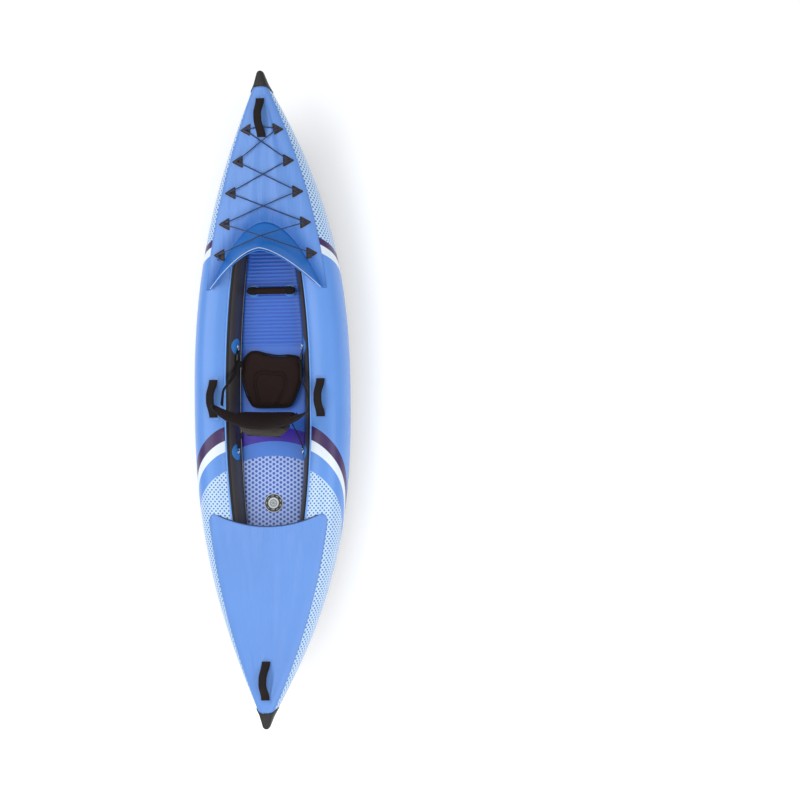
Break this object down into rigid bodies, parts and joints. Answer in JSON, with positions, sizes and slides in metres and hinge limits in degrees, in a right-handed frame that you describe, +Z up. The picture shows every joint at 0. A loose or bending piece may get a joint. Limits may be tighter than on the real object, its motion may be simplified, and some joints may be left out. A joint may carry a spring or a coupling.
{
  "type": "inflatable kayak",
  "caption": "Solo inflatable kayak with curved side tubes, drop-stitch floor, laced foredeck, splash visor, padded folding seat, footrest, carry handles and slide-in fin.",
  "frame": {"origin": "under the middle of the hull's length and beam, at the level of the fin's lowest point", "axes": "+X forwards to the bow, +Y to port, +Z up"},
  "size_m": [3.25, 0.7898, 0.6248],
  "materials": {
    "side_cover": "blue coated polyester, printed side pattern",
    "inner_wall": "dark coated polyester",
    "bottom_skin": "black coated polyester",
    "bladder": "thin urethane film",
    "floor": "drop-stitch fabric, royal blue with honeycomb print",
    "deck_cloth": "light blue coated polyester",
    "visor_cloth": "blue coated polyester",
    "cap_rubber": "matt black moulded rubber",
    "webbing": "black woven webbing",
    "weld_patch": "black welded patch",
    "blue_patch": "blue welded patch",
    "bungee": "dark navy braided bungee",
    "seat_cloth": "brown-black polyester over foam",
    "pouch_cloth": "dark grey-brown polyester",
    "moulded_black": "black moulded nylon",
    "valve_grey": "grey moulded nylon",
    "steel": "polished steel wire",
    "fibre_rod": "white glass-fibre rod",
    "fin_plastic": "black moulded plastic"
  },
  "bodies": {
    "hull": {"bow_cap": "cap_rubber", "bow_handle": "webbing", "bow_handle_pads": "weld_patch", "deck_lacing": "bungee", "fin_box": "fin_plastic", "floor_chamber": "floor", "floor_valve_body": "moulded_black", "floor_valve_spring": "steel", "footrest_bar": "seat_cloth", "footrest_loops": "webbing", "footrest_patches": "blue_patch", "foredeck": "deck_cloth", "front_seat_straps": "webbing", "lacing_knots": "bungee", "lacing_patches": "weld_patch", "lacing_rings": "moulded_black", "port_air_chamber": "bladder", "port_bottom_skin": "bottom_skin", "port_handle": "webbing", "port_handle_pads": "weld_patch", "port_inner_wall": "inner_wall", "port_side_cover": "side_cover", "port_valve_body": "moulded_black", "port_valve_spring": "steel", "rear_deck": "deck_cloth", "rear_seat_straps": "webbing", "seat_base": "seat_cloth", "snap_hooks": "steel", "splash_visor": "visor_cloth", "starboard_air_chamber": "bladder", "starboard_bottom_skin": "bottom_skin", "starboard_handle": "webbing", "starboard_handle_pads": "weld_patch", "starboard_inner_wall": "inner_wall", "starboard_side_cover": "side_cover", "starboard_valve_body": "moulded_black", "starboard_valve_spring": "steel", "stern_cap": "cap_rubber", "stern_handle": "webbing", "stern_handle_pads": "weld_patch", "strap_buckles": "moulded_black", "visor_hoop": "fibre_rod", "wall_patches": "blue_patch", "wall_rings": "steel"},
    "backrest": {"backrest": "seat_cloth", "back_pouch": "pouch_cloth"},
    "fin": {"fin": "fin_plastic"},
    "floor_valve_cap": {"floor_valve_cap": "valve_grey"},
    "floor_valve_plunger": {"floor_valve_plunger": "valve_grey"},
    "port_valve_cap": {"port_valve_cap": "valve_grey"},
    "port_valve_plunger": {"port_valve_plunger": "valve_grey"},
    "starboard_valve_cap": {"starboard_valve_cap": "valve_grey"},
    "starboard_valve_plunger": {"starboard_valve_plunger": "valve_grey"}
  },
  "joints": [
    {"name": "backrest_fold", "type": "hinge", "parent": "hull", "child": "backrest", "pos_m": [-0.06, 0, 0.24954], "axis": [0, 1, 0], "range_deg": [0, 55], "deforming": ["front_seat_straps", "rear_seat_straps"]},
    {"name": "fin_slide", "type": "slide", "parent": "hull", "child": "fin", "axis": [0.9982, 0, -0.0605], "range_m": [-0.16, 0]},
    {"name": "floor_valve_cap_hinge", "type": "hinge", "parent": "hull", "child": "floor_valve_cap", "pos_m": [-0.55159, 0, 0.21699], "axis": [0, -1, 0], "range_deg": [0, 105]},
    {"name": "floor_valve_push", "type": "slide", "parent": "hull", "child": "floor_valve_plunger", "axis": [-0.0523, 0, -0.9986], "range_m": [0, 0.004], "stiffness_N_per_m": 60, "springref_m": -0.002, "deforming": ["floor_valve_spring"]},
    {"name": "port_valve_cap_hinge", "type": "hinge", "parent": "hull", "child": "port_valve_cap", "pos_m": [-0.73377, 0.11652, 0.26678], "axis": [0, 0, -1], "range_deg": [0, 105]},
    {"name": "port_valve_push", "type": "slide", "parent": "hull", "child": "port_valve_plunger", "axis": [-0.1321, 0.9912, 0], "range_m": [0, 0.004], "stiffness_N_per_m": 60, "springref_m": -0.002, "deforming": ["port_valve_spring"]},
    {"name": "starboard_valve_cap_hinge", "type": "hinge", "parent": "hull", "child": "starboard_valve_cap", "pos_m": [-0.73377, -0.11652, 0.26678], "axis": [0, 0, 1], "range_deg": [0, 105]},
    {"name": "starboard_valve_push", "type": "slide", "parent": "hull", "child": "starboard_valve_plunger", "axis": [-0.1321, -0.9912, 0], "range_m": [0, 0.004], "stiffness_N_per_m": 60, "springref_m": -0.002, "deforming": ["starboard_valve_spring"]}
  ]
}
